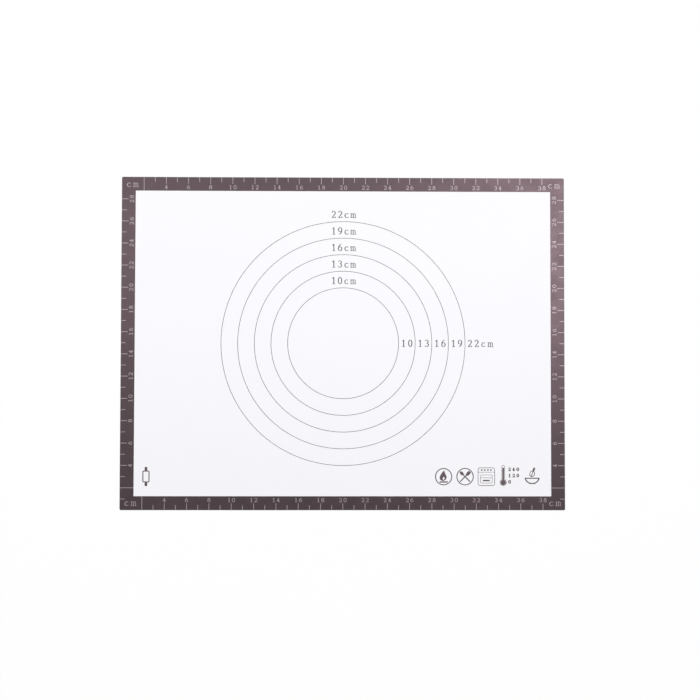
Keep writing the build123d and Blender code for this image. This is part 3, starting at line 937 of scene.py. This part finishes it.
# A mixing bowl on its foot, with a whisk above it
def makeBowlAndWhisk(values):
    line, wireLine = values["line"], values["wireLine"]
    low, high = nodeBox("bowl_and_whisk_symbol")
    footRow = (low[1] - high[1]) / 2
    rimRow = footRow + values["depth"]
    gripFoot = values["whiskLength"] / 2 - wireLine
    gripHeight = (values["height"] - values["depth"] - values["whiskGap"]
                  - values["whiskLength"] + wireLine)
    tilt = math.radians(values["tilt"])

    def inkAt(x, y):
        halfOval = np.maximum(ovalShape(x, y - rimRow, values["width"], 2 * values["depth"]), y - rimRow)
        bowl = lineInside(halfOval, line)
        foot = roundedBox(x, y - footRow - line / 2, values["footWidth"], line,
                          line * values["cornerShare"])
        across, up = turnedPlane(x, y - rimRow - values["whiskGap"] - values["whiskLength"] / 2, tilt)
        loop = lineInside(ovalShape(across, up, values["whiskWidth"], values["whiskLength"]), wireLine)
        wire = roundedBox(across, up, wireLine, values["whiskLength"] - wireLine)
        grip = roundedBox(across, up - gripFoot - gripHeight / 2, values["gripWidth"], gripHeight,
                          values["gripWidth"] * values["cornerShare"])
        return np.min([bowl, foot, loop, wire, grip], axis=0)

    return makePicture("bowlAndWhiskPicture", "bowl_and_whisk_symbol", inkAt)


pinValues = {
    "width": 0.0064, "height": 0.017, "barrelHeight": 0.0106, "corner": 0.0013, "line": 0.0009,
    "handleWidth": 0.0024, "handleCorner": 0.00045,
}


# A rolling pin stood on end: outlined barrel and two filled handles
def makeRollingPin(values):
    handleHeight = (values["height"] - values["barrelHeight"]) / 2

    def inkAt(x, y):
        barrel = lineInside(roundedBox(x, y, values["width"], values["barrelHeight"], values["corner"]),
                            values["line"])
        handleRow = values["barrelHeight"] / 2 + handleHeight / 2
        handles = roundedBox(x, np.abs(y) - handleRow, values["handleWidth"], handleHeight,
                             values["handleCorner"])
        return np.minimum(barrel, handles)

    return makePicture("rollingPinPicture", "rolling_pin_symbol", inkAt)


pictures = [makeFlame(flameValues), makeCrossedTools(toolValues), makeOven(ovenValues),
            makeThermometer(thermometerValues), makeScale(scaleType), makeBowlAndWhisk(bowlValues),
            makeRollingPin(pinValues)]
print("Small pictures printed")


# Table and light
studioValues = {
    "tableSize": 24.0,
    "tableDrop": 0.00002,        # just under the mat, so that no two faces lie in one plane
    "tableColour": (0.95, 0.95, 0.95),
    "glowNear": 0.9,             # how much of the table's look is plain white, the rest shows shadow
    "glowFar": 1.0,
    "nearReach": 0.5,            # metres from the middle, between which the look becomes plain white
    "farReach": 2.5,
    "ambient": 0.42,
    "boxHeight": 1.6,
}
softboxes = {
    "backSoftbox": {"centre": (-0.15, 0.34), "size": (1.1, 0.43), "radiance": 3.24},
    "leftSoftbox": {"centre": (-1.1, 0.3), "size": (0.8, 0.43), "radiance": 9.42},
    "rightSoftbox": {"centre": (0.56, 0.315), "size": (0.38, 0.57), "radiance": 15.15},
}


# White by the share given, for rays that the camera, a gloss or a glass sends. The other rays
# meet the shader alone
def seenWhite(tree, shader, white, share=1.0):
    path = addNode(tree, "ShaderNodeLightPath")
    seen = maths(tree, "MAXIMUM", path.outputs["Is Camera Ray"], path.outputs["Is Glossy Ray"])
    seen = maths(tree, "MAXIMUM", seen, path.outputs["Is Transmission Ray"])
    mix = addNode(tree, "ShaderNodeMixShader", {0: maths(tree, "MULTIPLY", seen, share)})
    tree.links.new(shader, mix.inputs[1])
    tree.links.new(white, mix.inputs[2])
    return mix.outputs[0]


# A plain square whose look turns to plain white with the distance from its middle
def makeTable(values):
    half = values["tableSize"] / 2
    corners = [(-half, -half), (half, -half), (half, half), (-half, half)]
    mesh = bpy.data.meshes.new("table")
    mesh.from_pydata([(x, y, -values["tableDrop"]) for x, y in corners], [], [(0, 1, 2, 3)])
    material = bpy.data.materials.new("whiteTable")
    material.use_nodes = True
    tree = material.node_tree
    tree.nodes.clear()
    matt = addNode(tree, "ShaderNodeBsdfDiffuse", {"Color": (*values["tableColour"], 1)})
    glow = addNode(tree, "ShaderNodeEmission", {"Color": (1, 1, 1, 1), "Strength": 1.0})
    output = addNode(tree, "ShaderNodeOutputMaterial")
    place = addNode(tree, "ShaderNodeTexCoord").outputs["Object"]
    reach = addNode(tree, "ShaderNodeVectorMath", {0: place}, operation="LENGTH").outputs["Value"]
    share = addNode(tree, "ShaderNodeMapRange", {
        "Value": reach, "From Min": values["nearReach"], "From Max": values["farReach"],
        "To Min": values["glowNear"], "To Max": values["glowFar"]}).outputs[0]
    tree.links.new(seenWhite(tree, matt.outputs[0], glow.outputs[0], share), output.inputs["Surface"])
    mesh.materials.append(material)
    table = bpy.data.objects.new("table", mesh)
    bpy.context.scene.collection.objects.link(table)


def makeWorld(values):
    world = bpy.data.worlds.new("studioWorld")
    world.use_nodes = True
    tree = world.node_tree
    tree.nodes.clear()
    ambient = addNode(tree, "ShaderNodeBackground", {"Color": (1, 1, 1, 1), "Strength": values["ambient"]})
    white = addNode(tree, "ShaderNodeBackground", {"Color": (1, 1, 1, 1), "Strength": 1.0})
    output = addNode(tree, "ShaderNodeOutputWorld")
    tree.links.new(seenWhite(tree, ambient.outputs[0], white.outputs[0]), output.inputs["Surface"])
    bpy.context.scene.world = world


# A softbox of even radiance gives off that times its area times pi, in watts
def makeSoftbox(name, values, height):
    lamp = bpy.data.lights.new(name, "AREA")
    lamp.shape = "RECTANGLE"
    lamp.size, lamp.size_y = values["size"]
    lamp.energy = values["radiance"] * lamp.size * lamp.size_y * math.pi
    softbox = bpy.data.objects.new(name, lamp)
    softbox.location = (*values["centre"], height)
    bpy.context.scene.collection.objects.link(softbox)


makeTable(studioValues)
makeWorld(studioValues)
for name, values in softboxes.items():
    makeSoftbox(name, values, studioValues["boxHeight"])
bpy.context.scene.view_settings.view_transform = "Standard"
print("Table and light set")
